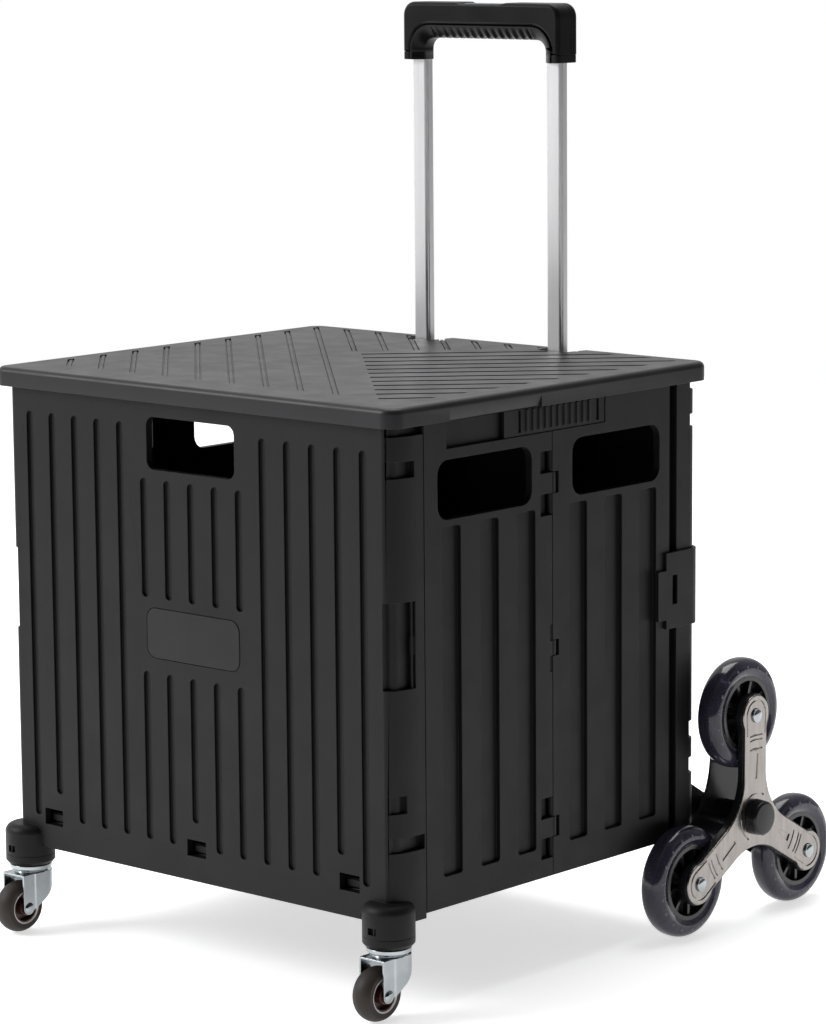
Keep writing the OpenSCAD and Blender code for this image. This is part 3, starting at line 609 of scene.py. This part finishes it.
def channel(half, front, rear):
    """Plan of the fork: open to the front, flat cheeks, then a round back that stands a little proud."""
    right = [(half, front), (half, -8.6), (half + 1.1, -7.6)]
    right += [(x, y) for x, y in arc((0, rear - half - 1.1), half + 1.1, 0, 90, 12)]
    return right + [(-x, y) for x, y in right[-2::-1]]


def fork_mesh(name, at, axle):
    """Pressed steel fork: folded cheeks cut to a swept outline, and a top plate."""
    eye = 6
    low, past_top = axle.z - eye, FORK_TOP + 1
    outside = prism(channel(FORK_HALF, -21, FORK_BACK), low - 2, FORK_TOP)
    inside = prism(channel(FORK_HALF - FORK_WALL, -40, FORK_BACK - FORK_WALL), low - 5, FORK_TOP - FORK_WALL)
    nose = arc((-CASTER_TRAIL, axle.z), eye, 170, 330, 12)
    swept = [(-21, 36), *nose, (-3, 23.8), (4, 28), (10.5, 33.5), (16, 40.5),
             (19.6, 47.5), (21, past_top), (-22, past_top)]
    side = prism(swept, -20, 20, "yz")
    mesh = to_mesh(name, moved(outside, (at.x, at.y, 0)))
    mesh = carved(mesh, [moved(inside, (at.x, at.y, 0))])
    return carved(mesh, [moved(side, (at.x, at.y, 0))], "INTERSECT")


def fork_neck(stem_top):
    """Cone on the top plate, bearing ring and stem."""
    cone = [(-0.5, 15.2), (0.6, 15), (2.4, 13.8)]
    ring = [(3, 17.6), (3.5, 18.4), (6.4, 18.4), (7, 17.8)]
    stem_r = 5.5
    profile = [(FORK_TOP + h, r) for h, r in (*cone, *ring, (7.2, stem_r))] + [(stem_top, stem_r)]
    return upright(turned(profile, 48))


def axle_ends(axle):
    """Pin between the cheeks with domed heads."""
    x = FORK_HALF
    dome = [(x + 2, 1), (x + 1.8, 2.8), (x + 1.2, 4.2), (x + 0.2, 4.9), (x, 4.9)]
    return moved(turned([(-h, r) for h, r in dome] + [(-x, 3), (x, 3)] + dome[::-1], 32), axle)


def hub_rims(axle):
    """Pale ring round the hub on both sides of the wheel."""
    rims = []
    for s in (-1, 1):
        face = [(7.4, 12.9), (8.9, 13.2), (9.2, 14), (9.2, 15.2), (8.8, 15.8), (7.4, 15.8)]
        rims.append(moved(turned([(s * x, r) for x, r in face], 64, loop=True), axle))
    return joined(rims)


for side in SIDES:
    axle = middle("caster_tyre_" + side)
    stem_top = box_mm("caster_fork_" + side)[1].z
    at = Vector((axle.x, axle.y + CASTER_TRAIL, 0))
    piece("fork_" + side, fork_mesh("fork_" + side, at, axle), zinc_finish, "caster_" + side,
          ["caster_fork_" + side], 0.35)
    piece("fork_neck_" + side, moved(fork_neck(stem_top), at), zinc_finish, "caster_" + side, (), 0.2)
    piece("fork_axle_" + side, axle_ends(axle), zinc_finish, "caster_" + side, ["caster_axle_" + side], 0)
    piece("hub_rim_" + side, hub_rims(axle), rim_finish, "caster_wheel_" + side, (), 0)


# ---- tri-wheel clusters ----

hub = middle("main_axle")
wheel_top = middle("tyre_right_top")
ARM = wheel_top.z - hub.z
tyre_low, tyre_high = box_mm("tyre_right_top")
core_low, core_high = box_mm("core_right_top")
WHEEL_R = (tyre_high.z - tyre_low.z) / 2
WHEEL_W = tyre_high.x - tyre_low.x
CORE_R = (core_high.z - core_low.z) / 2
plate_low, plate_high = box_mm("cluster_plate_right")
STAR_END, STAR_HALF_W, STAR_WAIST = 18, 15, 26
MARK_W = 1.6
LENSES = 18
TEETH = 30


def star(inset=0.0):
    """Three-armed outline round the origin, anticlockwise, one arm up."""
    c = (STAR_WAIST - STAR_HALF_W) / (1 - math.sin(math.radians(60)))
    hollow = c - STAR_WAIST
    flare = math.degrees(math.acos(STAR_HALF_W / STAR_END))
    arm = arc((0, ARM), STAR_END, -flare, 180 + flare, 18)
    arm += arc((-c * math.sin(math.radians(60)), c / 2), hollow, 0, -60, 18)[1:-1]
    outline = []
    for k in range(ARMS):
        a = math.radians(120 * k)
        outline += [(x * math.cos(a) - y * math.sin(a), x * math.sin(a) + y * math.cos(a)) for x, y in arm]
    return offset(outline, inset) if inset else outline


def in_cluster(shape):
    return moved(shape, (0, hub.y, hub.z))


def plate_marks():
    """Engraved lines on each arm: one round the end, bars below the rivet, a pocket, an arc at the hub."""
    top, bottom = plate_high.x + 1, plate_high.x - 1.1
    marks = []

    def line(points, width):
        """A groove of the given width along points."""
        left, right = [], []
        for i, p in enumerate(points):
            a = Vector(points[max(i - 1, 0)])
            b = Vector(points[min(i + 1, len(points) - 1)])
            side = (b - a).normalized() * width / 2
            left.append((p[0] - side.y, p[1] + side.x))
            right.append((p[0] + side.y, p[1] - side.x))
        return prism(left + right[::-1], bottom, top, "yz")

    end = [(12.6, ARM - 17)] + arc((0, ARM), 13.4, -8, 188, 20) + [(-12.6, ARM - 17)]
    bars = [[(x, ARM - drop - 0.012 * x * x) for x in (-9, -4.5, 0, 4.5, 9)] for drop in (17, 21, 29)]
    pocket = [(-3.4, ARM - 34), (-1.7, 34), (1.7, 34), (3.4, ARM - 34)]
    for k in range(ARMS):
        shapes = [line(end, 1.7)] + [line(bar, MARK_W) for bar in bars]
        shapes.append(prism(pocket, bottom + 0.1, top, "yz"))
        shapes.append(line(arc((0, 0), 21, 58, 122, 10), MARK_W))
        marks += [spun(s, 120 * k) for s in shapes]
    return marks


def outer_plate():
    """Outer star plate with a rounded rim."""
    t = plate_high.x - plate_low.x
    steps = ((0, 0.5), (0.5, 0), (t - 0.9, 0), (t - 0.35, 0.3), (t, 1.1))
    rings = [[(plate_low.x + x, y, z) for y, z in star(inset)] for x, inset in steps]
    return loft(rings)


def tyre_shape():
    """Soft wheel ring with a round tread."""
    half = WHEEL_W / 2
    profile = [(half * 0.88 * k / 4, CORE_R + 0.02) for k in range(-4, 5)]
    for k in range(1, 26):
        a = math.radians(-90 + 180 * k / 26)
        profile.append((-half * math.copysign(abs(math.sin(a)) ** 0.8, math.sin(a)),
                        CORE_R + 2.4 + (WHEEL_R - CORE_R - 2.4) * math.cos(a) ** 0.72))
    return turned(profile, 96, loop=True)


def lens_shape():
    """Small clear domes in a row round both sidewalls."""
    dome = turned([(0, 2.5), (0.5, 2.3), (0.85, 1.4), (1, 0.3)], 12)
    lens = moved(dome, (WHEEL_W / 2 - 1.3, 0, CORE_R + 7.4))
    return joined([spun(s, 360 / LENSES * k) for k in range(LENSES) for s in (lens, mirrored(lens))])


def hub_teeth():
    """Toothed collar round the bearing on both faces of a wheel."""
    root, tip, bore = 15.4, 17.2, 9
    near, far = 7.8, 11.4
    rings = []
    for i in range(4 * TEETH):
        a = 2 * math.pi * i / (4 * TEETH)
        r = tip if i // 2 % 2 else root
        section = ((near, bore), (far, bore), (far, r), (near, r))
        rings.append([(x, q * math.sin(a), q * math.cos(a)) for x, q in section])
    ring = loft(rings, loop=True)
    return joined([ring, mirrored(ring)])


def cap_shape():
    """Hub cap: polished wall, round shoulder and a nearly flat face."""
    start, r = plate_high.x, 15.5
    wall, shoulder = start + 8, 2.6
    profile = [(start, r - 0.4), (start + 0.5, r), (wall, r - 0.5)]
    profile += [(wall + shoulder * math.sin(a), r - 3.1 + shoulder * math.cos(a))
                for a in (0.4, 0.8, 1.2, 1.5)]
    profile += [(start + 11.1, 7), (start + 11.3, 1)]
    return turned(profile, 56)


def rivet_heads():
    """Domed rivet heads on the outer plate."""
    start = plate_high.x
    profile = ((0, 6.3), (0.8, 6.3), (1.8, 5.6), (2.5, 4), (2.8, 1))
    dome = turned([(start + x, r) for x, r in profile], 32)
    return joined([spun(moved(dome, (0, 0, ARM)), 120 * k) for k in range(ARMS)])


plate_shape = in_cluster(outer_plate())
marks = [in_cluster(mark) for mark in plate_marks()]
liner = in_cluster(prism(star(-0.9), plate_low.x - 5.4, plate_low.x - 0.02, "yz"))
tyre, lenses, teeth = tyre_shape(), lens_shape(), hub_teeth()
for side, sign in SIDES.items():
    turn = mirrored if sign < 0 else (lambda shape: shape)
    body = "cluster_" + side
    plate = carved(to_mesh("plate", turn(plate_shape)), [turn(mark) for mark in marks])
    piece("cluster_cover_" + side, plate, nickel_finish, body, ["cluster_plate_" + side], 0)
    piece("plate_liner_" + side, turn(liner), black_finish, body, (), 0.3)
    piece("hub_cap_" + side, turn(in_cluster(cap_shape())), black_finish, body, ["cluster_cap_" + side], 0)
    piece("rivet_heads_" + side, turn(in_cluster(rivet_heads())), zinc_finish, body, (), 0)
    for wheel in WHEELS:
        name = f"{side}_{wheel}"
        at = middle("tyre_" + name)
        piece("soft_tyre_" + name, moved(tyre, at), stair_tyre_finish, "wheel_" + name, ["tyre_" + name], 0)
        piece("tyre_lenses_" + name, moved(lenses, at), lens_finish, "wheel_" + name, (), 0)
        piece("hub_teeth_" + name, moved(teeth, at), core_finish, "wheel_" + name, (), 0.15)


# ---------------------------------------------------------------- stage


def stage_finish():
    """Pale paper: almost white, faint fibre."""
    f = Finish("paper", Emission_Color=(1, 1, 1, 1), Emission_Strength=0.62)
    f.colour(f.ramp(f.noise(9, 4), ((0.3, (0.93, 0.93, 0.93)), (0.7, (0.96, 0.96, 0.96)))))
    f.roughness(f.between(f.noise(30, 2), 0.7, 0.9))
    return f.material


FLOOR_REACH = 3.2
FLOOR_Z = -0.0005
corners = [(x * FLOOR_REACH, y * FLOOR_REACH, FLOOR_Z) for x, y in ((-1, -1), (1, -1), (1, 1), (-1, 1))]
floor_mesh = bpy.data.meshes.new("floor")
floor_mesh.from_pydata(corners, [], [(0, 1, 2, 3)])
floor = bpy.data.objects.new("floor", floor_mesh)
floor.data.materials.append(stage_finish())
bpy.context.scene.collection.objects.link(floor)


def studio():
    """Soft surround: bright at the back and the left, dark beside the camera, white where it is seen."""
    world = bpy.data.worlds.new("studio")
    world.use_nodes = True
    tree = world.node_tree
    seen = tree.nodes["Background"]
    seen.inputs["Color"].default_value = (1, 1, 1, 1)
    around = tree.nodes.new("ShaderNodeBackground")
    direction = tree.nodes.new("ShaderNodeTexCoord").outputs["Generated"]
    levels = []
    towards_camera = ((0.669, -0.743, 0), -0.3, 0.95, 1.0, 0.02)
    to_the_right = ((1, 0, 0), -0.8, 0.8, 1.2, 0.08)
    for axis, start, end, low, high in (towards_camera, to_the_right):
        dot = tree.nodes.new("ShaderNodeVectorMath")
        dot.operation = "DOT_PRODUCT"
        dot.inputs[1].default_value = axis
        tree.links.new(direction, dot.inputs[0])
        spread = tree.nodes.new("ShaderNodeMapRange")
        for key, number in (("From Min", start), ("From Max", end), ("To Min", low), ("To Max", high)):
            spread.inputs[key].default_value = number
        tree.links.new(dot.outputs["Value"], spread.inputs["Value"])
        levels.append(spread.outputs["Result"])
    product = tree.nodes.new("ShaderNodeMath")
    product.operation = "MULTIPLY"
    for k in (0, 1):
        tree.links.new(levels[k], product.inputs[k])
    tree.links.new(product.outputs["Value"], around.inputs["Strength"])
    choose = tree.nodes.new("ShaderNodeMixShader")
    tree.links.new(tree.nodes.new("ShaderNodeLightPath").outputs["Is Camera Ray"], choose.inputs["Fac"])
    tree.links.new(around.outputs["Background"], choose.inputs[1])
    tree.links.new(seen.outputs["Background"], choose.inputs[2])
    tree.links.new(choose.outputs["Shader"], tree.nodes["World Output"].inputs["Surface"])
    return world


bpy.context.scene.world = studio()


def softbox(name, spot, size, power):
    """Square area light aimed at the crate."""
    data = bpy.data.lights.new(name, "AREA")
    data.shape, data.size, data.energy = "SQUARE", size, power
    light = bpy.data.objects.new(name, data)
    light.location = spot
    light.rotation_mode = "QUATERNION"
    light.rotation_quaternion = (AIM - Vector(spot)).to_track_quat("-Z", "Y")
    bpy.context.scene.collection.objects.link(light)


AIM = Vector((0, 0, 0.35))
softbox("key", (-2.2, -2.6, 2.4), 1.6, 90)
softbox("fill", (3.2, 1.6, 1.8), 1.4, 2)
softbox("top", (-0.4, 0.8, 3.4), 2.2, 75)

AZIMUTH, ELEVATION, ROLL = (math.radians(v) for v in (41.791, 9.105, -0.474))
FLAT = math.cos(ELEVATION)
back = Vector((math.sin(AZIMUTH) * FLAT, -math.cos(AZIMUTH) * FLAT, math.sin(ELEVATION)))
level = Vector((math.cos(AZIMUTH), math.sin(AZIMUTH), 0))
rise = back.cross(level)
right_axis = math.cos(ROLL) * level + math.sin(ROLL) * rise
up_axis = -math.sin(ROLL) * level + math.cos(ROLL) * rise
lens = bpy.data.cameras.new("camera")
lens.sensor_width, lens.lens = 36, 134.32
lens.clip_start, lens.clip_end = 0.1, 60
camera = bpy.data.objects.new("camera", lens)
camera.matrix_world = Matrix((right_axis, up_axis, back)).transposed().to_4x4()
camera.location = (2.19746, -2.44541, 0.88323)
bpy.context.scene.collection.objects.link(camera)
bpy.context.scene.camera = camera
bpy.context.scene.view_settings.view_transform = "Standard"
